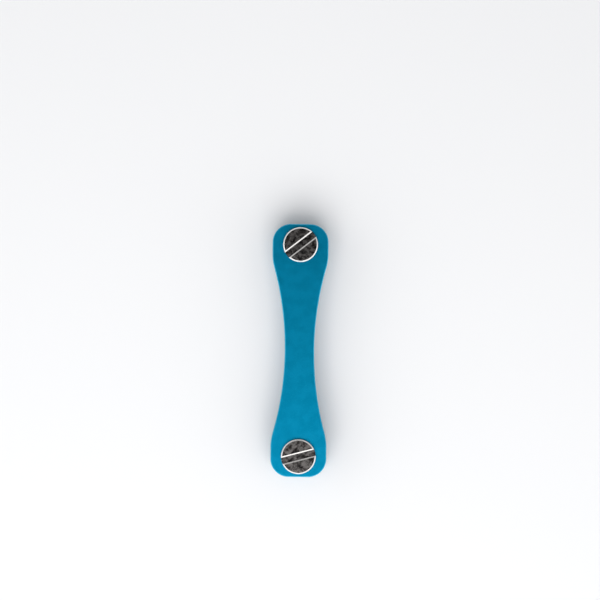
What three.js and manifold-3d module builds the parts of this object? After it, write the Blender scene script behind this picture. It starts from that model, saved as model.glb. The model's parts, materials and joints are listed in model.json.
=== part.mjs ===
// A pocket key organiser. Two dog-bone aluminium plates face each other across two stacks of rings. Each
// stack stands on a threaded post, and a coin-slotted screw closes it. Keys fold in between the plates like
// the blades of a pocket knife, and a flat steel loop on the upper post swings out to carry a car key.
//
// Millimetres, +Z up. The organiser lies on the heads of its posts: +X is its width, +Y runs along it
// towards the upper post, and the origin is under its middle, on the surface that it lies on.
import * as THREE from "three";
import { mergeVertices } from "three/addons/utils/BufferGeometryUtils.js";
import Module from "manifold-3d";

// Driving dimensions.
const PLATE = {
  length: 86,
  endWidth: 19,
  waistWidth: 10,
  thickness: 2,
  waistRadius: 105,
  shoulderRadius: 17,
  cornerRadius: 6.2,
  chamfer: 0.3,
};
const POST_SPACING = 72;
const HEAD = { radius: 5.9, chamfer: 0.4, rearThickness: 1.6, frontThickness: 1.8 };
const COIN_SLOT = {
  width: 2.1,
  depth: 1.1,
  edgeWidth: 0.42,
  edgeDepth: 0.26,
  upperAngle: 38,
  lowerAngle: 15,
};
const SHANK = { radius: 2, tipChamfer: 0.4, length: 8.4 };
const BARREL = { radius: 2.5, boreFloor: 2.6, belowStack: 0.4 };
const NECK = { radius: 3.3, acrossFlats: 5.4, rootInHead: 0.5, shortOfPlate: 0.1 };
const RING = { radius: 5, spacer: 1, washer: 0.5 };
const LOOP = { eyeRadius: 5, endRadius: 4.5, slotWidth: 5, slotStart: 10.5, slotEnd: 21.5, layer: 1.5 };

// Clearances: beside a turning or sliding piece, between its faces, and round a piece that stays put.
const RADIAL_CLEARANCE = 0.1;
const FACE_CLEARANCE = 0.02;
const EASY_CLEARANCE = 0.15;
// How far a cutting tool runs past the face that it opens.
const OVERSHOOT = 1;

// Facets of a full circle, and of each arc of the plates' outline (three.js doubles the number for an arc).
const CIRCLE_FACETS = 32;
const OUTLINE_SEGMENTS = 5;

const SPACER = "spacer";
const WASHER = "washer";
const LOOP_LAYER = "loop";
// What each post carries between the plates, from the rear plate forwards.
const UPPER_STACK = [WASHER, SPACER, SPACER, SPACER, SPACER, WASHER, LOOP_LAYER, WASHER];
const LOWER_STACK = [WASHER, SPACER, SPACER, SPACER, SPACER, SPACER, SPACER, WASHER];
const LAYER_HEIGHT = { [SPACER]: RING.spacer, [WASHER]: RING.washer, [LOOP_LAYER]: LOOP.layer };

// Levels, worked out from the driving dimensions.
const POST_Y = POST_SPACING / 2;
const REAR_PLATE_Z = HEAD.rearThickness;
const STACK_Z = REAR_PLATE_Z + PLATE.thickness;
const STACK_HEIGHT = UPPER_STACK.reduce((sum, layer) => sum + LAYER_HEIGHT[layer], 0);
const FRONT_PLATE_Z = STACK_Z + STACK_HEIGHT + FACE_CLEARANCE;
const FRONT_FACE_Z = FRONT_PLATE_Z + PLATE.thickness;

const MATERIALS = {
  anodised: new THREE.MeshStandardMaterial({ color: 0x0a7fa6, roughness: 0.42, metalness: 0.85 }),
  blackNickel: new THREE.MeshStandardMaterial({ color: 0x35302f, roughness: 0.25, metalness: 1 }),
  steel: new THREE.MeshStandardMaterial({ color: 0xb9bbbd, roughness: 0.3, metalness: 1 }),
  nylon: new THREE.MeshStandardMaterial({ color: 0x151618, roughness: 0.55, metalness: 0 }),
};

const wasm = await Module();
wasm.setup();

// A closed three.js geometry as a manifold-3d solid.
function toSolid(geometry) {
  const bare = geometry.clone();
  bare.deleteAttribute("normal");
  bare.deleteAttribute("uv");
  const merged = mergeVertices(bare);
  const vertProperties = merged.getAttribute("position").array;
  const triVerts = new Uint32Array(merged.index.array);
  return new wasm.Manifold(new wasm.Mesh({ numProp: 3, vertProperties, triVerts }));
}

// A manifold-3d solid as a three.js geometry.
function toGeometry(solid) {
  const mesh = solid.getMesh();
  const geometry = new THREE.BufferGeometry();
  geometry.setAttribute("position", new THREE.BufferAttribute(mesh.vertProperties, 3));
  geometry.setIndex(new THREE.BufferAttribute(mesh.triVerts, 1));
  geometry.computeVertexNormals();
  return geometry;
}

// The base less every tool.
function cut(base, ...tools) {
  const solid = tools.reduce((left, tool) => left.subtract(toSolid(tool)), toSolid(base));
  return toGeometry(solid);
}

// A profile of [radius, height] points turned about the Z axis. It starts and ends on the axis.
function turned(profile) {
  const points = profile.map(([radius, height]) => new THREE.Vector2(radius, height));
  return new THREE.LatheGeometry(points, CIRCLE_FACETS).rotateX(Math.PI / 2);
}

// A disc-shaped rod along Z, from one height to another.
function rod(radius, low, high) {
  return turned([[0, low], [radius, low], [radius, high], [0, high]]);
}

// A flat shape extruded along Z, from one height to another.
function prism(shape, low, high, segments = CIRCLE_FACETS / 4) {
  const options = { depth: high - low, bevelEnabled: false, curveSegments: segments };
  return new THREE.ExtrudeGeometry(shape, options).translate(0, 0, low);
}

// The plates' outline: a shallow concave arc along each side swells through a convex shoulder into an end
// with two round corners. Each arc is tangent to the next.
function plateOutline() {
  const half = PLATE.endWidth / 2;
  const end = PLATE.length / 2;
  const waistX = PLATE.waistWidth / 2 + PLATE.waistRadius;
  const shoulderX = half - PLATE.shoulderRadius;
  const reach = PLATE.waistRadius + PLATE.shoulderRadius;
  const tilt = Math.acos((waistX - shoulderX) / reach);
  const shoulderY = reach * Math.sin(tilt);
  const cornerX = half - PLATE.cornerRadius;
  const cornerY = end - PLATE.cornerRadius;
  const quarter = Math.PI / 2;
  const shape = new THREE.Shape();
  shape.absarc(waistX, 0, PLATE.waistRadius, Math.PI + tilt, Math.PI - tilt, true);
  shape.absarc(shoulderX, shoulderY, PLATE.shoulderRadius, -tilt, 0, false);
  shape.absarc(cornerX, cornerY, PLATE.cornerRadius, 0, quarter, false);
  shape.absarc(-cornerX, cornerY, PLATE.cornerRadius, quarter, 2 * quarter, false);
  shape.absarc(-shoulderX, shoulderY, PLATE.shoulderRadius, Math.PI, Math.PI + tilt, false);
  shape.absarc(-waistX, 0, PLATE.waistRadius, tilt, -tilt, true);
  shape.absarc(-shoulderX, -shoulderY, PLATE.shoulderRadius, Math.PI - tilt, Math.PI, false);
  shape.absarc(-cornerX, -cornerY, PLATE.cornerRadius, 2 * quarter, 3 * quarter, false);
  shape.absarc(cornerX, -cornerY, PLATE.cornerRadius, 3 * quarter, 4 * quarter, false);
  shape.absarc(shoulderX, -shoulderY, PLATE.shoulderRadius, 0, tilt, false);
  return shape;
}

// A round rod with two flats that face +X and -X, as a section.
function doubleFlat(radius, acrossFlats) {
  const edge = Math.acos(acrossFlats / 2 / radius);
  const shape = new THREE.Shape();
  shape.absarc(0, 0, radius, edge, Math.PI - edge, false);
  shape.absarc(0, 0, radius, Math.PI + edge, 2 * Math.PI - edge, false);
  return shape;
}

// A chamfered plate with its rear face at height 0, and a hole of the given section at each post.
function plate(holeAt) {
  const options = {
    depth: PLATE.thickness - 2 * PLATE.chamfer,
    bevelThickness: PLATE.chamfer,
    bevelSize: PLATE.chamfer,
    bevelOffset: -PLATE.chamfer,
    bevelSegments: 1,
    curveSegments: OUTLINE_SEGMENTS,
  };
  const blank = new THREE.ExtrudeGeometry(plateOutline(), options).translate(0, 0, PLATE.chamfer);
  return cut(blank, holeAt(POST_Y), holeAt(-POST_Y));
}

// The front plate's holes are round, and fit over the screws' shoulders.
function frontPlate() {
  const radius = BARREL.radius + EASY_CLEARANCE;
  return plate((y) => rod(radius, -OVERSHOOT, PLATE.thickness + OVERSHOOT).translate(0, y, 0));
}

// The rear plate's holes have two flats that stop the posts turning.
function rearPlate() {
  const section = doubleFlat(NECK.radius + RADIAL_CLEARANCE, NECK.acrossFlats + 2 * RADIAL_CLEARANCE);
  return plate((y) => prism(section, -OVERSHOOT, PLATE.thickness + OVERSHOOT).translate(0, y, 0));
}

// A post from height 0: a chamfered head, a neck with flats inside the rear plate, and a bored barrel.
function post() {
  const barrelTop = STACK_Z + STACK_HEIGHT - BARREL.belowStack;
  const head = [
    [0, 0],
    [HEAD.radius - HEAD.chamfer, 0],
    [HEAD.radius, HEAD.chamfer],
    [HEAD.radius, HEAD.rearThickness],
    [BARREL.radius, HEAD.rearThickness],
    [BARREL.radius, barrelTop],
    [0, barrelTop],
  ];
  const neckRoot = HEAD.rearThickness - NECK.rootInHead;
  const neckTop = STACK_Z - NECK.shortOfPlate;
  const neck = prism(doubleFlat(NECK.radius, NECK.acrossFlats), neckRoot, neckTop);
  const bore = rod(SHANK.radius + RADIAL_CLEARANCE, BARREL.boreFloor, barrelTop + OVERSHOOT);
  const solid = toSolid(turned(head)).add(toSolid(neck)).subtract(toSolid(bore));
  return toGeometry(solid);
}

// A coin slot across a screw head whose top is at height 0: straight walls with a shallow bevel at each edge.
function coinSlot(angle) {
  const half = COIN_SLOT.width / 2;
  const mouth = half + COIN_SLOT.edgeWidth;
  const section = new THREE.Shape([
    new THREE.Vector2(-half, -COIN_SLOT.depth),
    new THREE.Vector2(half, -COIN_SLOT.depth),
    new THREE.Vector2(half, -COIN_SLOT.edgeDepth),
    new THREE.Vector2(mouth, 0),
    new THREE.Vector2(mouth, OVERSHOOT),
    new THREE.Vector2(-mouth, OVERSHOOT),
    new THREE.Vector2(-mouth, 0),
    new THREE.Vector2(-half, -COIN_SLOT.edgeDepth),
  ]);
  const reach = HEAD.radius + OVERSHOOT;
  const along = prism(section, -reach, reach);
  return along.rotateX(Math.PI / 2).rotateZ(THREE.MathUtils.degToRad(angle - 90));
}

// A screw whose head sits on height 0: a chamfered head with a coin slot, a shoulder and a threaded shank.
function screw(slotAngle) {
  const top = FACE_CLEARANCE + HEAD.frontThickness;
  const profile = [
    [0, -SHANK.length],
    [SHANK.radius - SHANK.tipChamfer, -SHANK.length],
    [SHANK.radius, SHANK.tipChamfer - SHANK.length],
    [SHANK.radius, -PLATE.thickness],
    [BARREL.radius, -PLATE.thickness],
    [BARREL.radius, FACE_CLEARANCE],
    [HEAD.radius, FACE_CLEARANCE],
    [HEAD.radius, top - HEAD.chamfer],
    [HEAD.radius - HEAD.chamfer, top],
    [0, top],
  ];
  return cut(turned(profile), coinSlot(slotAngle).translate(0, 0, top));
}

// A flat ring that fits round a post, from height 0.
function ring(thickness) {
  const shape = new THREE.Shape().absarc(0, 0, RING.radius, 0, 2 * Math.PI, false);
  const hole = new THREE.Path().absarc(0, 0, BARREL.radius + EASY_CLEARANCE, 0, 2 * Math.PI, true);
  shape.holes.push(hole);
  return prism(shape, 0, thickness, CIRCLE_FACETS / 2);
}

// The flat loop, from height 0, with its eye at the origin and its slot towards -Y: two straight sides
// tangent to the eye's round end and to the slot's round end.
function carKeyLoop() {
  const endY = LOOP.slotWidth / 2 - LOOP.slotEnd;
  const startY = -LOOP.slotStart - LOOP.slotWidth / 2;
  const lean = Math.asin((LOOP.eyeRadius - LOOP.endRadius) / -endY);
  const shape = new THREE.Shape();
  shape.absarc(0, 0, LOOP.eyeRadius, -lean, Math.PI + lean, false);
  shape.absarc(0, endY, LOOP.endRadius, Math.PI + lean, 2 * Math.PI - lean, false);
  const eye = new THREE.Path().absarc(0, 0, BARREL.radius + RADIAL_CLEARANCE, 0, 2 * Math.PI, true);
  const slot = new THREE.Path();
  slot.absarc(0, startY, LOOP.slotWidth / 2, Math.PI, 0, true);
  slot.absarc(0, endY, LOOP.slotWidth / 2, 0, -Math.PI, true);
  shape.holes.push(eye, slot);
  return prism(shape, FACE_CLEARANCE, LOOP.layer - FACE_CLEARANCE, CIRCLE_FACETS / 2);
}

const organiser = new THREE.Group();

// Adds one named piece at a place along the organiser and a height.
function addPiece(name, geometry, material, y, z) {
  const mesh = new THREE.Mesh(geometry, material);
  mesh.name = name;
  mesh.position.set(0, y, z);
  organiser.add(mesh);
}

// Adds the rings of one post, and the loop where the stack has it.
function addStack(end, stack, y) {
  const count = { [SPACER]: 0, [WASHER]: 0 };
  let z = STACK_Z;
  for (const layer of stack) {
    if (layer === LOOP_LAYER) {
      addPiece("car_key_loop", carKeyLoop(), MATERIALS.steel, y, z);
    } else {
      count[layer] += 1;
      const name = layer === SPACER ? "spacer" : "friction_washer";
      const material = layer === SPACER ? MATERIALS.steel : MATERIALS.nylon;
      addPiece(`${end}_${name}_${count[layer]}`, ring(LAYER_HEIGHT[layer]), material, y, z);
    }
    z += LAYER_HEIGHT[layer];
  }
}

addPiece("rear_plate", rearPlate(), MATERIALS.anodised, 0, REAR_PLATE_Z);
addPiece("front_plate", frontPlate(), MATERIALS.anodised, 0, FRONT_PLATE_Z);
addPiece("upper_post", post(), MATERIALS.blackNickel, POST_Y, 0);
addPiece("lower_post", post(), MATERIALS.blackNickel, -POST_Y, 0);
addPiece("upper_screw", screw(COIN_SLOT.upperAngle), MATERIALS.blackNickel, POST_Y, FRONT_FACE_Z);
addPiece("lower_screw", screw(COIN_SLOT.lowerAngle), MATERIALS.blackNickel, -POST_Y, FRONT_FACE_Z);
addStack("upper", UPPER_STACK, POST_Y);
addStack("lower", LOWER_STACK, -POST_Y);

export default organiser;
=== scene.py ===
"""The looks of a pocket key organiser: two blue dog-bone plates held apart by stacks of rings on two posts.

Metres throughout, in the frame's own axes: +X across the organiser, +Y along it towards the post that carries
the car key loop, +Z out of the front plate. Every piece is worked out where its node of the frame stands.

A shape is one or more grids of points. A grid's rows follow one parameter and its columns the other, quads
join neighbours, and the grids of a piece are welded where they meet.
"""
import json
import math

import bmesh
import bpy
import numpy as np
from mathutils import Matrix, Vector

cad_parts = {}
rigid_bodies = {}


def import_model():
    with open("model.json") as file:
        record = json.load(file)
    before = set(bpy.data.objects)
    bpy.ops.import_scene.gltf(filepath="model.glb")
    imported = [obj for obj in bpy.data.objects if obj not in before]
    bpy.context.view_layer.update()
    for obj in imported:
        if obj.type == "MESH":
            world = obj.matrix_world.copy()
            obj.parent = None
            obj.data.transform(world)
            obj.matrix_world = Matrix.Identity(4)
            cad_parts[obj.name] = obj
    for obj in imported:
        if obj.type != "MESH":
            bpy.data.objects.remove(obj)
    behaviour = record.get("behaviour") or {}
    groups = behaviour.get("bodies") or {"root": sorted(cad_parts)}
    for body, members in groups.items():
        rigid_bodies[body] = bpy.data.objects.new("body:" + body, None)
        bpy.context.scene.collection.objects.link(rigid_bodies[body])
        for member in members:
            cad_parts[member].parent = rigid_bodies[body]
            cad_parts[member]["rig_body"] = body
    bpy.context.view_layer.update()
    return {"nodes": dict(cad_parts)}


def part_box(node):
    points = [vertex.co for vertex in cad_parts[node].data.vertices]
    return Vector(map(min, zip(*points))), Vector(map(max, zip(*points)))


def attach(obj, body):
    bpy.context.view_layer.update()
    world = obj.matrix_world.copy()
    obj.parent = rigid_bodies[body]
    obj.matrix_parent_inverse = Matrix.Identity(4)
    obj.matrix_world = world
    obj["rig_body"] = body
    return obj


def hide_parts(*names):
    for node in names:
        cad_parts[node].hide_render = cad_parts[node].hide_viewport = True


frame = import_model()

MM = 0.001
TURN = 2 * math.pi


def corners_of(node):
    """The lowest and highest corner of a frame node, as arrays."""
    low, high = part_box(node)
    return np.array(low), np.array(high)


# Places read from the frame.
FRONT_LOW, FRONT_HIGH = corners_of("front_plate")
REAR_LOW, REAR_HIGH = corners_of("rear_plate")
POST_LOW, POST_HIGH = corners_of("upper_post")
SCREW_LOW, SCREW_HIGH = corners_of("upper_screw")
LOOP_LOW, LOOP_HIGH = corners_of("car_key_loop")
POST_Y = (POST_LOW[1] + POST_HIGH[1]) / 2
HEAD_RADIUS = (POST_HIGH[0] - POST_LOW[0]) / 2
PLATE_HALF_WIDTH = FRONT_HIGH[0]
PLATE_HALF_LENGTH = FRONT_HIGH[1]

# The plates' outline, and how their edges are broken.
WAIST_HALF_WIDTH = 5 * MM
WAIST_RADIUS = 105 * MM
SHOULDER_RADIUS = 17 * MM
CORNER_RADIUS = 6.2 * MM
PLATE_CHAMFER = 0.3 * MM
HOLE_CHAMFER = 0.15 * MM

# Posts.
BARREL_RADIUS = 2.5 * MM
BARREL_CHAMFER = 0.2 * MM
NECK_RADIUS = 3.3 * MM
NECK_HALF_FLATS = 2.7 * MM
NECK_SHORT_OF_PLATE = 0.1 * MM
NECK_PLAY = 0.1 * MM
BORE_FLOOR = 2.6 * MM
BORE_CONE = 0.8 * MM
BORE_MOUTH_RADIUS = 2.1 * MM

# Heads and screws.
HEAD_CHAMFER = 0.4 * MM
HEAD_GAP = 0.02 * MM
SLOT_HALF_WIDTH = 1.05 * MM
SLOT_DEPTH = 1.1 * MM
SLOT_EDGE_WIDTH = 0.42 * MM
SLOT_EDGE_DEPTH = 0.26 * MM
UPPER_SLOT_ANGLE = math.radians(38)
LOWER_SLOT_ANGLE = math.radians(15)
SHANK_TIP_CHAMFER = 0.4 * MM

# The M4 thread: its pitch, the middle and half the height of its wave, how much the wave is cut flat, the
# play in the bore, the length that it fades out over, and how worn its crests are.
PITCH = 0.7 * MM
THREAD_MIDDLE = 1.79 * MM
THREAD_SWING = 0.2 * MM
THREAD_FLATTENING = 1.5
THREAD_PLAY = 0.06 * MM
THREAD_RUNOUT = 0.6 * MM
CREST_WEAR = 0.5
CREST_WEAR_DEPTH = 0.04 * MM

# Rings and the car key loop.
RING_CLEARANCE = 0.15 * MM
RING_CHAMFER = 0.1 * MM
LOOP_CLEARANCE = 0.1 * MM
LOOP_CHAMFER = 0.18 * MM
LOOP_END_RADIUS = 4.5 * MM
LOOP_SLOT_HALF_WIDTH = 2.5 * MM
LOOP_SLOT_START = 10.5 * MM
LOOP_SLOT_END = 21.5 * MM
LOOP_CUT = 6.5 * MM
LOOP_EYE_RADIUS = LOOP_HIGH[0]
LOOP_END_Y = LOOP_SLOT_HALF_WIDTH - LOOP_SLOT_END
LOOP_START_Y = -LOOP_SLOT_START - LOOP_SLOT_HALF_WIDTH

# The radius and steps of an eased corner, the flat kept beside it, and how far the path over an edge runs on
# across the face.
EASE = 0.07 * MM
EASE_STEPS = 4
GUARD = 0.03 * MM
FACE_MARGIN = 0.3 * MM

# Fineness of the meshes. Points closer than WELD become one, edges past SHARP stay sharp, and TINY keeps a
# quotient finite.
WELD = 1e-7
SHARP = math.radians(42)
TINY = 1e-9
WAIST_POINTS = 40
SHOULDER_POINTS = 12
SIDE_POINTS = 5
CORNER_POINTS = 28
END_POINTS = 15
CUT_POINTS = 9
PLATE_FACE_ROWS = 9
EYE_POINTS = 72
EYE_SIDE_POINTS = 7
LOOP_END_POINTS = 64
LOOP_SIDE_POINTS = 15
LOOP_FACE_ROWS = 5
RING_COLUMNS = 96
POST_COLUMNS = 120
CONE_ROWS = 4
LAND_COLUMNS = 81
LAND_FACE_ROWS = 9
SLOT_COLUMNS = 41
SLOT_ROWS = 9
TIP_ROWS = 5
ROWS_A_PITCH = 12


# --- Curves and grids -------------------------------------------------------------------------------------


def spread(start, end, count):
    """Evenly spaced values between start and end, without either."""
    return np.linspace(start, end, count + 2)[1:-1]


def arc(x, y, radius, start, end, count):
    """Points on a circle: its centre plus the radius times (cos, sin) of angles spaced evenly."""
    angle = np.linspace(start, end, count)
    return np.stack([x + radius * np.cos(angle), y + radius * np.sin(angle)], axis=1)


def eased(corners):
    """A polyline of (x, y, radius) corners with its inner corners rounded. Each becomes an arc tangent to its
    two sides, about a centre on the bisector, at the radius over the sine of the half angle. A point just
    outside each end of an arc keeps the flat beside it flat when it is shaded smooth."""
    corners = np.asarray(corners, float)
    path = [corners[:1, :2]]
    share = np.linspace(0, 1, EASE_STEPS + 1)[:, None]
    for before, here, after in zip(corners[:-2, :2], corners[1:-1], corners[2:, :2]):
        corner, radius = here[:2], here[2]
        back = (before - corner) / np.linalg.norm(before - corner)
        ahead = (after - corner) / np.linalg.norm(after - corner)
        half = math.acos(back @ ahead) / 2
        sweep = TURN / 2 - 2 * half
        reach = radius / math.tan(half)
        middle = corner + (back + ahead) / np.linalg.norm(back + ahead) * radius / math.sin(half)
        first = corner + reach * back - middle
        last = corner + reach * ahead - middle
        bend = (np.sin((1 - share) * sweep) * first + np.sin(share * sweep) * last) / math.sin(sweep)
        path += [corner + (reach + GUARD) * back, middle + bend, corner + (reach + GUARD) * ahead]
    path.append(corners[-1:, :2])
    return np.vstack(path)


def oblique(path):
    """How oblique a path runs at each point: twice the product of its slopes over the sum of their squares,
    which is 0 on a face or a wall and 1 on a 45-degree chamfer."""
    step = np.gradient(path, axis=0)
    return np.abs(2 * step[:, 0] * step[:, 1]) / np.maximum((step**2).sum(axis=1), TINY**2)


def grid(x, y, z, wrap=True, edge=0.0):
    """A grid of points from arrays that spread over its rows and columns, closed from the last column to the
    first or not, with the share of a broken edge at each point."""
    x, y, z, edge = np.broadcast_arrays(x, y, z, edge)
    return np.stack([x, y, z], axis=-1), wrap, edge


def placed(grids, turn=0.0, y=0.0, z=0.0, mirror=False):
    """The same grids turned about Z, mirrored end for end if asked, and moved along Y and Z."""
    cos, sin = math.cos(turn), math.sin(turn)
    spin = np.array([[cos, sin, 0], [-sin, cos, 0], [0, 0, 1]])
    flip = np.array([1, -1 if mirror else 1, 1])
    return [(points @ spin * flip + np.array([0, y, z]), wrap, edge) for points, wrap, edge in grids]


def lathe(radius, height, angle, wrap=True, edge=0.0):
    """A surface round Z: the radius times (cos, sin) of the angle, at the height. Rows follow the profile and
    columns go round."""
    return grid(radius * np.cos(angle), radius * np.sin(angle), height, wrap, edge)


def turned(profile, angle):
    """A path of (radius, height) points turned about Z."""
    return lathe(profile[:, :1], profile[:, 1:], angle, edge=oblique(profile)[:, None])


def joined(grids):
    """The points, quads and edge shares of several grids, numbered on from each grid to the next."""
    points, faces, edges, first = [], [], [], 0
    for place, wrap, edge in grids:
        rows, columns = place.shape[:2]
        number = first + np.arange(rows * columns).reshape(rows, columns)
        first += rows * columns
        if wrap:
            number = np.hstack([number, number[:, :1]])
        quads = [number[:-1, :-1], number[:-1, 1:], number[1:, 1:], number[1:, :-1]]
        points.append(place.reshape(-1, 3))
        faces.append(np.stack(quads, axis=-1).reshape(-1, 4))
        edges.append(edge.reshape(-1))
    return np.vstack(points), np.vstack(faces), np.concatenate(edges)


def piece(node, grids, material):
    """The finished piece that stands for a frame node and rides on its body: its grids, welded, with faces
    turned outwards. Each point keeps its share of a broken edge and its distance from the node's own axis."""
    points, faces, edge = joined(grids)
    low, high = corners_of(node)
    radius = np.linalg.norm((points - (low + high) / 2)[:, :2], axis=1)
    mesh = bpy.data.meshes.new(node + "_finish")
    mesh.from_pydata(points.tolist(), [], faces.tolist())
    for label, values in (("edge", edge), ("radius", radius)):
        attribute = mesh.attributes.new(label, "FLOAT", "POINT")
        attribute.data.foreach_set("value", values.astype(np.float32))
    work = bmesh.new()
    work.from_mesh(mesh)
    bmesh.ops.remove_doubles(work, verts=work.verts, dist=WELD)
    bmesh.ops.recalc_face_normals(work, faces=work.faces)
    work.to_mesh(mesh)
    work.free()
    mesh.shade_smooth()
    mesh.set_sharp_from_angle(angle=SHARP)
    mesh.materials.append(material)
    made = bpy.data.objects.new(node + "_finish", mesh)
    bpy.context.scene.collection.objects.link(made)
    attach(made, frame["nodes"][node]["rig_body"])
    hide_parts(node)
    return made


# --- Flat pieces with holes -------------------------------------------------------------------------------


def broken_edge(low, high, chamfer, margin=FACE_MARGIN):
    """The (inset, height) path over a flat piece's edge: from the top face down a chamfer, the wall and the
    other chamfer to the bottom face, each corner slightly eased."""
    far = chamfer + margin
    top = [(far, high, 0), (chamfer, high, EASE), (0, high - chamfer, EASE)]
    bottom = [(0, low + chamfer, EASE), (chamfer, low, EASE), (far, low, 0)]
    return eased(top + bottom)


def slab(outer, hole, wall, rim, lip, face_rows):
    """A flat cell between an outer ring and the ring of a hole in it. outer and hole give their rings, point
    for point, moved into the cell by an inset. rim and lip are (inset, height) paths from the top face to the
    bottom face. A face blends one ring into the other in even shares. The first wall points of the outer ring
    have a real edge, and the rest lie on a cut where the next cell begins."""
    rings = np.stack([outer(inset) for inset in rim[:, 0]])
    holes = np.stack([hole(inset) for inset in lip[:, 0]])
    share = np.linspace(0, 1, face_rows + 1)[:, None, None]
    faces = []
    for end in (0, -1):
        between = (1 - share) * holes[end] + share * rings[end]
        faces.append(grid(between[..., 0], between[..., 1], rim[end, 1]))
    x, y = rings[:, :wall, 0], rings[:, :wall, 1]
    side = grid(x, y, rim[:, 1:], wrap=False, edge=oblique(rim)[:, None])
    bore = grid(holes[..., 0], holes[..., 1], lip[:, 1:], edge=oblique(lip)[:, None])
    return faces + [side, bore]


def cut_line(half_width, y):
    """Points on the cut between two cells, from left to right, without its ends."""
    x = spread(-half_width, half_width, CUT_POINTS)
    return np.stack([x, np.full_like(x, y)], axis=1)


def dog_bone(inset):
    """The upper half of the plates' outline, moved inwards by an inset: up the right side along a concave arc
    from the waist, a convex shoulder, a straight and a round corner, then down the left side the same way.
    Each arc is tangent to the next, so an inset only changes radii. The last points cut across the waist."""
    waist_x = WAIST_HALF_WIDTH + WAIST_RADIUS
    shoulder_x = PLATE_HALF_WIDTH - SHOULDER_RADIUS
    tilt = math.acos((waist_x - shoulder_x) / (WAIST_RADIUS + SHOULDER_RADIUS))
    shoulder_y = (WAIST_RADIUS + SHOULDER_RADIUS) * math.sin(tilt)
    corner_x = PLATE_HALF_WIDTH - CORNER_RADIUS
    corner_y = PLATE_HALF_LENGTH - CORNER_RADIUS
    waist = arc(waist_x, 0, WAIST_RADIUS + inset, TURN / 2, TURN / 2 - tilt, WAIST_POINTS)
    shoulder = arc(shoulder_x, shoulder_y, SHOULDER_RADIUS - inset, -tilt, 0, SHOULDER_POINTS)[1:]
    side_y = spread(shoulder_y, corner_y, SIDE_POINTS)
    side = np.stack([np.full_like(side_y, PLATE_HALF_WIDTH - inset), side_y], axis=1)
    corner = arc(corner_x, corner_y, CORNER_RADIUS - inset, 0, TURN / 4, CORNER_POINTS)
    right = np.vstack([waist, shoulder, side, corner])
    end_x = spread(corner_x, -corner_x, END_POINTS)
    end = np.stack([end_x, np.full_like(end_x, PLATE_HALF_LENGTH - inset)], axis=1)
    return np.vstack([right, end, right[::-1] * [-1, 1], cut_line(WAIST_HALF_WIDTH - inset, 0)])


def hole_in(outline, centre, radius, half_flats=math.inf):
    """A hole as a function of an inset: on each ray from its centre to a point of the outline, its radius, or
    the distance of the flats on its sides over the ray's cosine where that is less."""
    ray = outline - centre
    direction = ray / np.linalg.norm(ray, axis=1, keepdims=True)

    def hole(inset):
        flat = (half_flats + inset) / np.maximum(np.abs(direction[:, :1]), TINY)
        return centre + direction * np.minimum(radius + inset, flat)

    return hole


def plate(node, low, high, hole):
    """A dog-bone plate: a cell round the upper post's hole, and its mirror image at the lower end."""
    wall = len(dog_bone(0)) - CUT_POINTS
    rim = broken_edge(low, high, PLATE_CHAMFER)
    lip = broken_edge(low, high, HOLE_CHAMFER)
    upper = slab(dog_bone, hole, wall, rim, lip, PLATE_FACE_ROWS)
    return piece(node, upper + placed(upper, mirror=True), ANODISED)


def loop_eye_outline(inset):
    """The loop's outline round its eye, moved inwards: round the eye from the cut on the right to the cut on
    the left. Its straight sides touch the eye's circle and the end's circle."""
    lean, half_cut = loop_lean(inset)
    round_eye = arc(0, 0, LOOP_EYE_RADIUS - inset, -lean, TURN / 2 + lean, EYE_POINTS)
    side = np.linspace([half_cut, -LOOP_CUT], round_eye[0], EYE_SIDE_POINTS)[:-1]
    return np.vstack([side, round_eye, side[::-1] * [-1, 1], cut_line(half_cut, -LOOP_CUT)])


def loop_end_outline(inset):
    """The loop's outline round its slot, moved inwards: down the left side from the cut, round the end, and
    up the right side to the cut."""
    lean, half_cut = loop_lean(inset)
    round_end = arc(0, LOOP_END_Y, LOOP_END_RADIUS - inset, TURN / 2 + lean, TURN - lean, LOOP_END_POINTS)
    side = np.linspace([-half_cut, -LOOP_CUT], round_end[0], LOOP_SIDE_POINTS)[:-1]
    return np.vstack([side, round_end, side[::-1] * [-1, 1], cut_line(half_cut, -LOOP_CUT)[::-1]])


def loop_lean(inset):
    """The lean of the loop's sides, whose sine is the difference of its radii over its length, and half the
    loop's width at the cut, where a side passes."""
    lean = math.asin((LOOP_EYE_RADIUS - LOOP_END_RADIUS) / -LOOP_END_Y)
    half_cut = (LOOP_EYE_RADIUS - inset - LOOP_CUT * math.sin(lean)) / math.cos(lean)
    return lean, half_cut


def loop_slot(inset):
    """The loop's slot on each ray from its middle to a point of the end's outline: its straight side at the
    half width over the ray's cosine, or its round end where the ray meets that circle first."""
    centre = np.array([0, (LOOP_START_Y + LOOP_END_Y) / 2])
    half_length = (LOOP_START_Y - LOOP_END_Y) / 2
    ray = loop_end_outline(0) - centre
    ray = ray / np.linalg.norm(ray, axis=1, keepdims=True)
    across, along = np.abs(ray[:, :1]), np.abs(ray[:, 1:])
    radius = LOOP_SLOT_HALF_WIDTH + inset
    side = radius / np.maximum(across, TINY)
    cap = half_length * along + np.sqrt(np.maximum(radius**2 - (half_length * across) ** 2, 0))
    return centre + ray * np.where(side * along <= half_length, side, cap)


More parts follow.
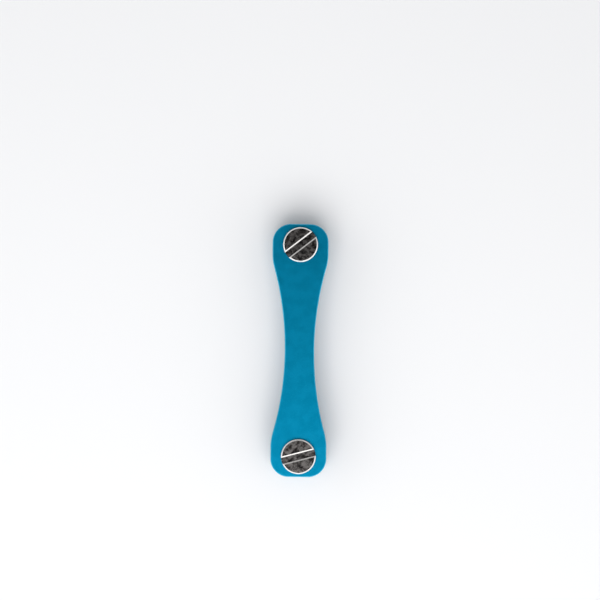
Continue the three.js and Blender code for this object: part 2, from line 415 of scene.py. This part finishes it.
def car_key_loop():
    """The flat steel loop: a cell round its eye, and a cell round its slot."""
    rim = broken_edge(LOOP_LOW[2], LOOP_HIGH[2], LOOP_CHAMFER)
    eye_outline = loop_eye_outline(0)
    eye = hole_in(eye_outline, np.zeros(2), BARREL_RADIUS + LOOP_CLEARANCE)
    wall = len(eye_outline) - CUT_POINTS
    grids = slab(loop_eye_outline, eye, wall, rim, rim, LOOP_FACE_ROWS)
    wall = len(loop_end_outline(0)) - CUT_POINTS
    grids += slab(loop_end_outline, loop_slot, wall, rim, rim, LOOP_FACE_ROWS)
    return piece("car_key_loop", placed(grids, y=POST_Y), TUMBLED_STEEL)


# --- Turned pieces ----------------------------------------------------------------------------------------


def round_trip(columns):
    """Angles once round, without the last."""
    return np.linspace(0, TURN, columns + 1)[:-1]


def ring(node, material):
    """A flat ring: a closed profile with eased chamfers turned about its post."""
    low, high = corners_of(node)
    outer = (high[0] - low[0]) / 2
    inner = BARREL_RADIUS + RING_CLEARANCE
    edge = broken_edge(low[2], high[2], RING_CHAMFER, (outer - inner) / 2 - RING_CHAMFER)
    out = np.stack([outer - edge[:, 0], edge[:, 1]], axis=1)
    back = np.stack([inner + edge[::-1, 0], edge[::-1, 1]], axis=1)
    grids = [turned(np.vstack([out, back]), round_trip(RING_COLUMNS))]
    return piece(node, placed(grids, y=(low[1] + high[1]) / 2), material)


def thread_radius(height, angle, low, high):
    """The radius of the right-hand thread: a wave of the phase height / pitch - angle / full turn, flattened
    at crest and root, that fades out towards the thread's two ends."""
    phase = height / PITCH - angle / TURN
    wave = 4 * np.abs(phase - np.round(phase)) - 1
    wave = -np.clip(THREAD_FLATTENING * wave, -1, 1)
    fade = np.clip(np.minimum(height - low, high - height) / THREAD_RUNOUT, 0, 1)
    return THREAD_MIDDLE + THREAD_SWING * (wave * fade - (1 - fade))


def helix_rows(angle, low, high):
    """The angles with the first repeated after a full turn, and heights down a threaded stretch whose rows
    climb with the thread: pitch * (row / rows a pitch + angle / full turn), held between the two ends. Rows
    lie on the corners of the thread's wave, and the last column meets the first."""
    angle = np.append(angle, angle[0] + TURN)
    climb = angle / TURN
    first = math.ceil((high / PITCH - climb[0]) * ROWS_A_PITCH)
    last = math.floor((low / PITCH - climb[-1]) * ROWS_A_PITCH)
    row = np.arange(first, last - 1, -1)[:, None] / ROWS_A_PITCH
    return angle, np.clip(PITCH * (row + climb), low, high)


def threaded_bore(angle):
    """A post's blind bore: the radius of the screw's thread plus its play, or of the 45-degree countersink
    where that is more, down to a drilled point."""
    top = POST_HIGH[2]
    thread_low = BORE_FLOOR + BORE_CONE
    bore_angle, height = helix_rows(angle, thread_low, top)
    thread = THREAD_PLAY + thread_radius(height, bore_angle, thread_low - THREAD_RUNOUT, top + THREAD_RUNOUT)
    countersink = BORE_MOUTH_RADIUS - (top - height)
    radius = np.maximum(thread, countersink)
    cone = np.linspace(1, 0, CONE_ROWS)[:, None]
    tip = lathe(radius[-1] * cone, BORE_FLOOR + BORE_CONE * cone, bore_angle, wrap=False)
    return [lathe(radius, height, bore_angle, wrap=False), tip]


def post(node, y):
    """A post: a plain head with an eased chamfer, a neck with two flats, a barrel, and a threaded bore. The
    neck's radius is its own, or the distance of its flats over the cosine of the angle where that is less."""
    angle = round_trip(POST_COLUMNS)
    plate_low, plate_high, top = REAR_LOW[2], REAR_HIGH[2], POST_HIGH[2]
    head = eased(
        [
            (0, 0, 0),
            (HEAD_RADIUS - HEAD_CHAMFER, 0, EASE),
            (HEAD_RADIUS, HEAD_CHAMFER, EASE),
            (HEAD_RADIUS, plate_low, EASE),
            (NECK_RADIUS, plate_low, 0),
        ]
    )
    neck_top = plate_high - NECK_SHORT_OF_PLATE
    flats = np.minimum(NECK_RADIUS, NECK_HALF_FLATS / np.maximum(np.abs(np.cos(angle)), TINY))
    neck = lathe(np.stack([flats, flats]), np.array([[plate_low], [neck_top]]), angle)
    shoulder = lathe(np.stack([flats, np.full_like(flats, BARREL_RADIUS)]), neck_top, angle)
    collar = lathe(np.stack([np.full_like(flats, NECK_RADIUS), flats]), plate_low, angle)
    barrel = eased(
        [
            (BARREL_RADIUS, neck_top, 0),
            (BARREL_RADIUS, top - BARREL_CHAMFER, EASE / 2),
            (BARREL_RADIUS - BARREL_CHAMFER, top, EASE / 2),
            (BORE_MOUTH_RADIUS, top, 0),
        ]
    )
    outside = [turned(head, angle), collar, neck, shoulder, turned(barrel, angle)]
    return piece(node, placed(outside + threaded_bore(angle), y=y), BLACK_NICKEL)


def inset_at(path, height):
    """How far a path of (inset, height) points has come in at each height."""
    return np.interp(height, path[:, 1], path[:, 0])


def up_to_face(path):
    """The part of an upward path that comes before its flat end."""
    return path[: np.argmax(path[:, 1] > -WELD) + 1]


def land(slot_share, arc_share, rim, edge):
    """One half of a slotted head's top: the D between the slot's wall and the head's side, with heights below
    the top. Its ring at each height is the arc of the head's radius less the rim's inset, closed by a chord
    at the slot's half width plus the slot edge's inset. The top face shrinks the last ring to its middle."""
    height = np.union1d(rim[:, 1], edge[:, 1])
    height = height[np.append(np.diff(height) > WELD, True)]
    rings = []
    for level, rim_inset, edge_inset in zip(height, inset_at(rim, height), inset_at(edge, height)):
        radius = HEAD_RADIUS - rim_inset
        wall = SLOT_HALF_WIDTH + edge_inset
        start = math.asin(wall / radius)
        angle = start + (TURN / 2 - 2 * start) * arc_share
        chord = slot_share[1:-1] * radius * math.cos(start)
        x = np.concatenate([radius * np.cos(angle), chord])
        y = np.concatenate([radius * np.sin(angle), np.full_like(chord, wall)])
        rings.append(np.stack([x, y, np.full_like(x, level)], axis=1))
    rings = np.stack(rings)
    rim_mark = np.interp(height, rim[:, 1], oblique(rim))[:, None]
    edge_mark = np.interp(height, edge[:, 1], oblique(edge))[:, None]
    on_arc = np.arange(rings.shape[1]) < len(arc_share)
    marks = np.where(on_arc, rim_mark, edge_mark)
    middle = np.array([0, (SLOT_HALF_WIDTH + HEAD_RADIUS) / 2, 0])
    beside_rim = 1 - 2 * GUARD / HEAD_RADIUS
    shrink = np.concatenate([[1, beside_rim], np.linspace(1, 0, LAND_FACE_ROWS)[1:]])
    face = middle + (rings[-1] - middle) * shrink[:, None, None]
    return [(rings, True, marks), (face, True, np.zeros(face.shape[:2]))]


def slotted_top():
    """The top of a slotted head, with heights below it, and the angles of the columns round it. The slot's
    floor runs out to the head's circle: at a distance across the slot, to the root of the radius squared less
    that distance squared. The columns follow the head's ring: one end of the slot's floor, the arc of a land,
    the other end, and the arc of the other land."""
    wall = [(0, -SLOT_DEPTH, 0), (0, -HEAD_CHAMFER, EASE), (HEAD_CHAMFER, 0, EASE), (2 * HEAD_CHAMFER, 0, 0)]
    rim = up_to_face(eased(wall))
    bevel = [(0, -SLOT_DEPTH, 0), (0, -SLOT_EDGE_DEPTH, EASE), (SLOT_EDGE_WIDTH, 0, EASE)]
    edge = up_to_face(eased(bevel + [(2 * SLOT_EDGE_WIDTH, 0, 0)]))
    slot_share = np.linspace(-1, 1, SLOT_COLUMNS)
    arc_share = np.linspace(0, 1, LAND_COLUMNS)
    upper = land(slot_share, arc_share, rim, edge)
    across = np.linspace(-1, 1, SLOT_ROWS) * SLOT_HALF_WIDTH
    reach = np.sqrt(HEAD_RADIUS**2 - across**2)[:, None]
    slot_floor = grid(reach * slot_share, across[:, None], -SLOT_DEPTH, wrap=False)
    start = math.asin(SLOT_HALF_WIDTH / HEAD_RADIUS)
    land_angle = start + (TURN / 2 - 2 * start) * arc_share
    gap_angle = np.arcsin(across[1:-1] / HEAD_RADIUS)
    angle = np.concatenate([gap_angle, land_angle, TURN / 2 + gap_angle, TURN / 2 + land_angle])
    return upper + placed(upper, turn=TURN / 2) + [slot_floor], angle


def threaded_shank(angle, slot_angle):
    """A screw's shank, with heights below the head's top: the thread, or a 45-degree taper at its tip where
    that is less, and the tip's flat end. The thread doesn't turn with the slot, so it is worked out at the
    frame's own angles and heights. Its crests keep a share of a broken edge."""
    frame_angle, frame_height = helix_rows(angle + slot_angle, SCREW_LOW[2], FRONT_LOW[2])
    thread = thread_radius(frame_height, frame_angle, SCREW_LOW[2], FRONT_LOW[2])
    crest = THREAD_MIDDLE + THREAD_SWING
    taper = crest - SHANK_TIP_CHAMFER + (frame_height - SCREW_LOW[2])
    thread = np.minimum(thread, taper)
    worn = np.interp(thread, [crest - CREST_WEAR_DEPTH, crest], [0, CREST_WEAR])
    shank_angle = frame_angle - slot_angle
    shank = lathe(thread, frame_height - SCREW_HIGH[2], shank_angle, wrap=False, edge=worn)
    inwards = np.linspace(1, 0, TIP_ROWS)[:, None]
    end = lathe(thread[-1] * inwards, SCREW_LOW[2] - SCREW_HIGH[2], shank_angle, wrap=False)
    return [shank, end]


def screw(node, y, slot_angle):
    """A screw: a head with an eased rim and a coin slot, a shoulder that passes the front plate, and a
    threaded shank. Every part has the head's columns, and heights count from the top of the head."""
    underside = FRONT_HIGH[2] + HEAD_GAP - SCREW_HIGH[2]
    shoulder_end = FRONT_LOW[2] - SCREW_HIGH[2]
    top, angle = slotted_top()
    side = eased(
        [
            (HEAD_RADIUS, -SLOT_DEPTH, 0),
            (HEAD_RADIUS, underside, EASE),
            (BARREL_RADIUS, underside, EASE),
            (BARREL_RADIUS, shoulder_end, EASE),
            (THREAD_MIDDLE - THREAD_SWING, shoulder_end, 0),
        ]
    )
    grids = top + [turned(side, angle)] + threaded_shank(angle, slot_angle)
    grids = placed(grids, turn=slot_angle, y=y, z=SCREW_HIGH[2])
    return piece(node, grids, BLACK_NICKEL)


# --- Materials --------------------------------------------------------------------------------------------

# The finishes' colours, in linear light.
DYE_DEEP = (0.001, 0.189, 0.335, 1)
DYE_PALE = (0.002, 0.212, 0.374, 1)
# A painted highlight: paler specks of the dye stand in for glints of light.
PAINTED_GLINT = (0.02, 0.42, 0.66, 1)
# Paler edges: partly worn dye, partly a painted highlight along the plates' edges.
EDGE_WEAR_AND_HIGHLIGHT = (0.06, 0.55, 0.76, 1)
PLATING_DARK = (0.008, 0.007, 0.007, 1)
PLATING_WORN = (0.128, 0.12, 0.116, 1)
PLATING_SCRATCH = (0.4, 0.385, 0.37, 1)
PLATING_CUT = (0.8, 0.78, 0.765, 1)
STEEL_DARK = (0.37, 0.375, 0.385, 1)
STEEL_PALE = (0.46, 0.465, 0.475, 1)
TURNED_EDGE = (0.64, 0.645, 0.655, 1)
TUMBLED_EDGE = (0.66, 0.665, 0.675, 1)
NYLON_LOW = (0.012, 0.012, 0.014, 1)
# A painted highlight for the nylon grain's high points.
NYLON_PAINTED_HIGHLIGHT = (0.03, 0.03, 0.033, 1)

# How rough each finish is, at one end of its pattern and at the other.
ANODISED_ROUGHNESS = (0.38, 0.4)
PLATING_ROUGHNESS = (0.2, 0.3)
TURNED_ROUGHNESS = (0.24, 0.3)
TUMBLED_ROUGHNESS = (0.32, 0.45)
NYLON_ROUGHNESS = (0.62, 0.48)

# How strongly an effect shows: painted glints, and paler edges that are partly worn dye and partly a painted
# highlight, in the dye; scratches in the plating, the relief of the turning marks under it, what the marks
# add to the roughness, and what tumbling takes from it.
PAINTED_GLINT_SHARE = 0.4
EDGE_WEAR_AND_HIGHLIGHT_SHARE = 0.5
SCRATCH_SHARE = 0.25
PLATED_MARK_RELIEF = 0.2
PLATED_MARK_ROUGHNESS = 0.08
TURNED_MARK_ROUGHNESS = 0.1
TUMBLED_POLISH = 0.12

# The depth of each finish's relief.
BLASTED_DEPTH = 0.008 * MM
PLATING_DEPTH = 0.002 * MM
TURNED_DEPTH = 0.002 * MM
TUMBLED_DEPTH = 0.003 * MM
NYLON_DEPTH = 0.01 * MM

# The ranges of noise, slope or edge over which an effect goes from nothing to full.
SPECKLE_RANGE = (0.56, 0.7)
PATCH_RANGE = (0.35, 0.65)
SCRATCH_RANGE = (0.62, 0.72)
SCRATCHED_RANGE = (0.45, 0.6)
LEVEL_RANGE = (0.9, 0.98)
TURNING_RANGE = (0.3, 0.7)
GRAIN_RANGE = (0.3, 0.7)
EDGE_RANGE = (0.35, 0.75)

# Scratches: the directions that they run in, how far they are drawn out, and the size of the scratched
# places. Then how little turning marks change along X and Y, and the size of an edge's raggedness.
SCRATCH_TURNS = (0.2, 0.9, 1.7, 2.7)
SCRATCH_DRAW = (0.02, 1, 1)
SCRATCHED_SIZE = 3 * MM
TURNING_DRIFT = 0.03
RAGGED_SIZE = 0.4 * MM


def add(tree, kind, inputs=None, **settings):
    """A new node: settings are its properties, and inputs are values or other nodes' outputs by socket."""
    made = tree.nodes.new(kind)
    for key, value in settings.items():
        setattr(made, key, value)
    for key, value in (inputs or {}).items():
        if isinstance(value, bpy.types.NodeSocket):
            tree.links.new(value, made.inputs[key])
        else:
            made.inputs[key].default_value = value
    return made


def calc(tree, operation, first, second=0.0):
    """The result of a sum on values or outputs."""
    return add(tree, "ShaderNodeMath", {0: first, 1: second}, operation=operation).outputs[0]


def blend(tree, share, first, second):
    """Two colours mixed by a share."""
    # A Mix node has sockets of every type: 0 is its factor, and 6 and 7 are its colours. 2 is the colour out.
    return add(tree, "ShaderNodeMix", {0: share, 6: first, 7: second}, data_type="RGBA").outputs[2]


def ramp(tree, value, low, high, start=0.0, end=1.0):
    """A value taken smoothly from one range to another."""
    names = {"Value": value, "From Min": low, "From Max": high, "To Min": start, "To Max": end}
    return add(tree, "ShaderNodeMapRange", names, interpolation_type="SMOOTHSTEP").outputs["Result"]


def kept(tree, label):
    """An attribute that a piece keeps on its points."""
    return add(tree, "ShaderNodeAttribute", attribute_name=label).outputs["Fac"]


def effect(name, inputs, outputs, wire):
    """A node group: wire(tree, given) places its nodes and returns what each output shows."""
    tree = bpy.data.node_groups.new(name, "ShaderNodeTree")
    for label, value in inputs.items():
        socket = tree.interface.new_socket(label, in_out="INPUT", socket_type="NodeSocketFloat")
        socket.default_value = value
    for label in outputs:
        tree.interface.new_socket(label, in_out="OUTPUT", socket_type="NodeSocketFloat")
    given = tree.nodes.new("NodeGroupInput")
    shown = tree.nodes.new("NodeGroupOutput")
    for label, value in wire(tree, given.outputs).items():
        tree.links.new(value, shown.inputs[label])
    return tree


def wire_grain(tree, given):
    """Fine grain, as blasting leaves it: noise in three directions at a size, as a height and as a speckle of
    its highest points."""
    place = add(tree, "ShaderNodeTexCoord").outputs["Object"]
    scale = calc(tree, "DIVIDE", 1.0, given["Size"])
    inputs = {"Vector": place, "Scale": scale, "Detail": 3.0, "Roughness": 0.6}
    height = add(tree, "ShaderNodeTexNoise", inputs).outputs[0]
    return {"Height": height, "Speckle": ramp(tree, height, *SPECKLE_RANGE)}


def wire_patches(tree, given):
    """Patches: noise at a size, from soft to crumbled, spread to the full range."""
    place = add(tree, "ShaderNodeTexCoord").outputs["Object"]
    scale = calc(tree, "DIVIDE", 1.0, given["Size"])
    inputs = {"Vector": place, "Scale": scale, "Detail": 4.0, "Roughness": given["Crumble"]}
    return {"Patches": ramp(tree, add(tree, "ShaderNodeTexNoise", inputs).outputs[0], *PATCH_RANGE)}


def wire_hairlines(tree, given):
    """Hairline scratches: noises drawn out along four directions, each kept where it is highest and inside
    its own broad patches, and only where the surface looks straight up or down."""
    place = add(tree, "ShaderNodeTexCoord").outputs["Object"]
    scale = calc(tree, "DIVIDE", 1.0, given["Width"])
    lines = 0.0
    for turn in SCRATCH_TURNS:
        spun = add(tree, "ShaderNodeVectorRotate", {"Vector": place, "Angle": turn}, rotation_type="Z_AXIS")
        stretch = {0: spun.outputs[0], 1: SCRATCH_DRAW}
        drawn = add(tree, "ShaderNodeVectorMath", stretch, operation="MULTIPLY")
        noise = add(tree, "ShaderNodeTexNoise", {"Vector": drawn.outputs[0], "Scale": scale, "Detail": 2.0})
        broad = add(tree, "ShaderNodeTexNoise", {"Vector": spun.outputs[0], "Scale": 1 / SCRATCHED_SIZE})
        here = ramp(tree, broad.outputs[0], *SCRATCHED_RANGE)
        line = calc(tree, "MULTIPLY", ramp(tree, noise.outputs[0], *SCRATCH_RANGE), here)
        lines = calc(tree, "MAXIMUM", lines, line)
    normal = add(tree, "ShaderNodeNewGeometry").outputs["Normal"]
    upright = calc(tree, "ABSOLUTE", add(tree, "ShaderNodeSeparateXYZ", {0: normal}).outputs["Z"])
    return {"Lines": calc(tree, "MULTIPLY", lines, ramp(tree, upright, *LEVEL_RANGE))}


def wire_turning(tree, given):
    """Turning marks: noise that follows the distance from the piece's axis and the height, and hardly changes
    along X and Y, so each mark runs round the axis and fades slowly in and out."""
    radius = kept(tree, "radius")
    place = add(tree, "ShaderNodeTexCoord").outputs["Object"]
    along = add(tree, "ShaderNodeSeparateXYZ", {0: place}).outputs
    drift = calc(tree, "MULTIPLY", calc(tree, "ADD", along["X"], along["Y"]), TURNING_DRIFT)
    spot = add(tree, "ShaderNodeCombineXYZ", {"X": radius, "Y": along["Z"], "Z": drift})
    scale = calc(tree, "DIVIDE", 1.0, given["Width"])
    noise = add(tree, "ShaderNodeTexNoise", {"Vector": spot.outputs[0], "Scale": scale, "Detail": 1.0})
    return {"Marks": ramp(tree, noise.outputs[0], *TURNING_RANGE)}


def wire_edges(tree, given):
    """Broken edges: the edge attribute past a threshold that noise shifts a little."""
    edge = kept(tree, "edge")
    place = add(tree, "ShaderNodeTexCoord").outputs["Object"]
    noise = add(tree, "ShaderNodeTexNoise", {"Vector": place, "Scale": 1 / RAGGED_SIZE, "Detail": 2.0})
    shift = calc(tree, "MULTIPLY", calc(tree, "SUBTRACT", noise.outputs[0], 0.5), given["Raggedness"])
    return {"Edge": ramp(tree, calc(tree, "ADD", edge, shift), *EDGE_RANGE)}


GRAIN = effect("grain", {"Size": 0.2 * MM}, ["Height", "Speckle"], wire_grain)
PATCHES = effect("patches", {"Size": 4 * MM, "Crumble": 0.5}, ["Patches"], wire_patches)
HAIRLINES = effect("hairlines", {"Width": 0.1 * MM}, ["Lines"], wire_hairlines)
TURNING = effect("turning marks", {"Width": 0.1 * MM}, ["Marks"], wire_turning)
EDGES = effect("broken edges", {"Raggedness": 0.3}, ["Edge"], wire_edges)


def use(tree, group, **inputs):
    """The outputs of an effect placed in a material with its own values."""
    made = tree.nodes.new("ShaderNodeGroup")
    made.node_tree = group
    for label, value in inputs.items():
        made.inputs[label].default_value = value
    return made.outputs


def finish(name, paint):
    """A material with one Principled shader: paint(tree) returns its sockets' values or outputs by name, and
    the height of its relief with the depth of a full step."""
    material = bpy.data.materials.new(name)
    material.use_nodes = True
    tree = material.node_tree
    shader = tree.nodes["Principled BSDF"]
    sockets, height, depth = paint(tree)
    bump = add(tree, "ShaderNodeBump", {"Height": height, "Distance": depth, "Strength": 1.0})
    tree.links.new(bump.outputs["Normal"], shader.inputs["Normal"])
    for label, value in sockets.items():
        if isinstance(value, bpy.types.NodeSocket):
            tree.links.new(value, shader.inputs[label])
        else:
            shader.inputs[label].default_value = value
    return material


def paint_anodised(tree):
    """Blasted and blue anodised: a satin grain, slow drifts of the dye, tiny painted glints, and paler edges
    that are partly worn dye and partly a painted highlight.
    """
    grain = use(tree, GRAIN, Size=0.17 * MM)
    patches = use(tree, PATCHES, Size=3 * MM)["Patches"]
    edge = use(tree, EDGES, Raggedness=0.5)["Edge"]
    dye = blend(tree, patches, DYE_DEEP, DYE_PALE)
    # Painted glints: the grain's highest specks are painted paler, as if they caught the light.
    painted_glint_share = calc(tree, "MULTIPLY", grain["Speckle"], PAINTED_GLINT_SHARE)
    dye_with_painted_glints = blend(tree, painted_glint_share, dye, PAINTED_GLINT)
    # Paler edges: partly worn dye, partly a painted highlight along the edges.
    colour = blend(tree, calc(tree, "MULTIPLY", edge, EDGE_WEAR_AND_HIGHLIGHT_SHARE), dye_with_painted_glints, EDGE_WEAR_AND_HIGHLIGHT)
    roughness = ramp(tree, patches, 0, 1, *ANODISED_ROUGHNESS)
    return {"Base Color": colour, "Roughness": roughness, "Metallic": 1.0}, grain["Height"], BLASTED_DEPTH


def paint_black_nickel(tree):
    """Black nickel over turned steel: dark, unevenly worn and finely scratched over faint turning marks, and
    bare where the edges were cut after plating and on the thread's crests."""
    wear = use(tree, PATCHES, Size=1.4 * MM, Crumble=0.66)["Patches"]
    lines = use(tree, HAIRLINES, Width=0.06 * MM)["Lines"]
    marks = use(tree, TURNING, Width=0.07 * MM)["Marks"]
    edge = use(tree, EDGES, Raggedness=0.1)["Edge"]
    plating = blend(tree, wear, PLATING_DARK, PLATING_WORN)
    scratched = blend(tree, calc(tree, "MULTIPLY", lines, SCRATCH_SHARE), plating, PLATING_SCRATCH)
    colour = blend(tree, edge, scratched, PLATING_CUT)
    rough_marks = calc(tree, "MULTIPLY", marks, PLATED_MARK_ROUGHNESS)
    roughness = calc(tree, "ADD", ramp(tree, wear, 0, 1, *PLATING_ROUGHNESS), rough_marks)
    relief = calc(tree, "SUBTRACT", calc(tree, "MULTIPLY", marks, PLATED_MARK_RELIEF), lines)
    return {"Base Color": colour, "Roughness": roughness, "Metallic": 1.0}, relief, PLATING_DEPTH


def paint_turned_steel(tree):
    """Turned stainless steel: turning marks, faint clouds, and brighter chamfers."""
    clouds = use(tree, PATCHES, Size=2 * MM)["Patches"]
    marks = use(tree, TURNING, Width=0.06 * MM)["Marks"]
    edge = use(tree, EDGES, Raggedness=0.1)["Edge"]
    metal = blend(tree, clouds, STEEL_DARK, STEEL_PALE)
    colour = blend(tree, edge, metal, TURNED_EDGE)
    rough_marks = calc(tree, "MULTIPLY", marks, TURNED_MARK_ROUGHNESS)
    roughness = calc(tree, "ADD", ramp(tree, clouds, 0, 1, *TURNED_ROUGHNESS), rough_marks)
    return {"Base Color": colour, "Roughness": roughness, "Metallic": 1.0}, marks, TURNED_DEPTH


def paint_tumbled_steel(tree):
    """Tumbled stainless steel: hairlines, faint clouds, and edges polished by the tumbling."""
    clouds = use(tree, PATCHES, Size=2 * MM)["Patches"]
    lines = use(tree, HAIRLINES, Width=0.05 * MM)["Lines"]
    edge = use(tree, EDGES, Raggedness=0.3)["Edge"]
    metal = blend(tree, clouds, STEEL_DARK, STEEL_PALE)
    colour = blend(tree, edge, metal, TUMBLED_EDGE)
    polish = calc(tree, "MULTIPLY", edge, TUMBLED_POLISH)
    roughness = calc(tree, "SUBTRACT", ramp(tree, lines, 0, 1, *TUMBLED_ROUGHNESS), polish)
    return {"Base Color": colour, "Roughness": roughness, "Metallic": 1.0}, lines, TUMBLED_DEPTH


def paint_nylon(tree):
    """Black moulded nylon: a matt grain, with a painted highlight on its high points where they would catch a
    little light.
    """
    grain = use(tree, GRAIN, Size=0.12 * MM)
    # Painted highlight: the grain's high points are painted paler, as if they caught the light.
    colour = blend(tree, grain["Speckle"], NYLON_LOW, NYLON_PAINTED_HIGHLIGHT)
    roughness = ramp(tree, grain["Height"], *GRAIN_RANGE, *NYLON_ROUGHNESS)
    return {"Base Color": colour, "Roughness": roughness, "Metallic": 0.0}, grain["Height"], NYLON_DEPTH


ANODISED = finish("blue anodised aluminium", paint_anodised)
BLACK_NICKEL = finish("black nickel", paint_black_nickel)
TURNED_STEEL = finish("turned steel", paint_turned_steel)
TUMBLED_STEEL = finish("tumbled steel", paint_tumbled_steel)
NYLON = finish("black nylon", paint_nylon)


# --- The organiser ----------------------------------------------------------------------------------------

post_centre = np.array([0, POST_Y])
screw_hole = hole_in(dog_bone(0), post_centre, BARREL_RADIUS + RING_CLEARANCE)
neck_hole = hole_in(dog_bone(0), post_centre, NECK_RADIUS + NECK_PLAY, NECK_HALF_FLATS + NECK_PLAY)
plate("front_plate", FRONT_LOW[2], FRONT_HIGH[2], screw_hole)
plate("rear_plate", REAR_LOW[2], REAR_HIGH[2], neck_hole)
post("upper_post", POST_Y)
post("lower_post", -POST_Y)
screw("upper_screw", POST_Y, UPPER_SLOT_ANGLE)
screw("lower_screw", -POST_Y, LOWER_SLOT_ANGLE)
car_key_loop()
for node in frame["nodes"]:
    if "spacer" in node:
        ring(node, TURNED_STEEL)
    elif "washer" in node:
        ring(node, NYLON)


# --- Floor, light and camera ------------------------------------------------------------------------------

FLOOR_HALF = 1.5
FLOOR_GAP = 0.01 * MM
FLOOR_PALE = (0.9, 0.905, 0.92, 1)
FLOOR_ROUGHNESS = 0.9

# The studio dome's strength: within an angle of straight overhead, and at the horizon. It is multiplied by
# the strength behind or in front, and those meet over a band on both sides of the middle.
OVERHEAD_ANGLE = math.radians(10)
OVERHEAD_LIGHT = 0.43
HORIZON_LIGHT = 1.45
BACK_LIGHT = 0.56
FRONT_LIGHT = 1.22
MEETING_BAND = 0.32

# The camera: its height, the width that it sees at the front plate's top, the place it looks at along the
# organiser, and its roll.
CAMERA_HEIGHT = 0.9
CAMERA_FIELD = 204 * MM
CAMERA_Y = 17.2 * MM
CAMERA_ROLL = math.radians(0.62)
CAMERA_SENSOR = 36.0
CAMERA_NEAREST = 0.01


def floor():
    """A pale plain floor, just under the heads that the organiser lies on."""
    corner = FLOOR_HALF * np.array([[-1, -1], [1, -1], [1, 1], [-1, 1]])
    points = np.column_stack([corner, np.full(4, -FLOOR_GAP)])
    mesh = bpy.data.meshes.new("floor")
    mesh.from_pydata(points.tolist(), [], [(0, 1, 2, 3)])
    made = bpy.data.objects.new("floor", mesh)
    bpy.context.scene.collection.objects.link(made)
    material = bpy.data.materials.new("pale floor")
    material.use_nodes = True
    shader = material.node_tree.nodes["Principled BSDF"]
    shader.inputs["Base Color"].default_value = FLOOR_PALE
    shader.inputs["Roughness"].default_value = FLOOR_ROUGHNESS
    mesh.materials.append(material)


def sky():
    """A studio dome, brighter low down than overhead, and brighter in front than behind."""
    world = bpy.data.worlds.new("studio")
    bpy.context.scene.world = world
    world.use_nodes = True
    tree = world.node_tree
    background = tree.nodes["Background"]
    background.inputs["Color"].default_value = (1, 1, 1, 1)
    direction = add(tree, "ShaderNodeTexCoord").outputs["Generated"]
    along = add(tree, "ShaderNodeSeparateXYZ", {0: direction}).outputs
    low = ramp(tree, along["Z"], math.cos(OVERHEAD_ANGLE), 0, OVERHEAD_LIGHT, HORIZON_LIGHT)
    front = ramp(tree, along["Y"], MEETING_BAND, -MEETING_BAND, BACK_LIGHT, FRONT_LIGHT)
    tree.links.new(calc(tree, "MULTIPLY", low, front), background.inputs["Strength"])


def softbox(name, place, size, power):
    """A square area light at a place, facing the organiser."""
    light = bpy.data.lights.new(name, "AREA")
    light.shape = "SQUARE"
    light.size = size
    light.energy = power
    made = bpy.data.objects.new(name, light)
    aim = -Vector(place)
    made.matrix_world = Matrix.Translation(place) @ aim.to_track_quat("-Z", "Y").to_matrix().to_4x4()
    bpy.context.scene.collection.objects.link(made)


def camera():
    """Straight down on the organiser, with +Y up the picture and the roll that it lies at."""
    data = bpy.data.cameras.new("camera")
    data.sensor_width = CAMERA_SENSOR
    data.lens = CAMERA_SENSOR * (CAMERA_HEIGHT - FRONT_HIGH[2]) / CAMERA_FIELD
    data.clip_start = CAMERA_NEAREST
    made = bpy.data.objects.new("camera", data)
    made.location = (0, CAMERA_Y, CAMERA_HEIGHT)
    made.rotation_euler = (0, 0, CAMERA_ROLL)
    bpy.context.scene.collection.objects.link(made)
    bpy.context.scene.camera = made


floor()
sky()
softbox("front softbox", place=(-0.03, -0.33, 0.54), size=0.55, power=2.3)
softbox("left softbox", place=(-0.9, 0.2, 0.6), size=0.6, power=0.8)
camera()
bpy.context.scene.view_settings.view_transform = "Standard"
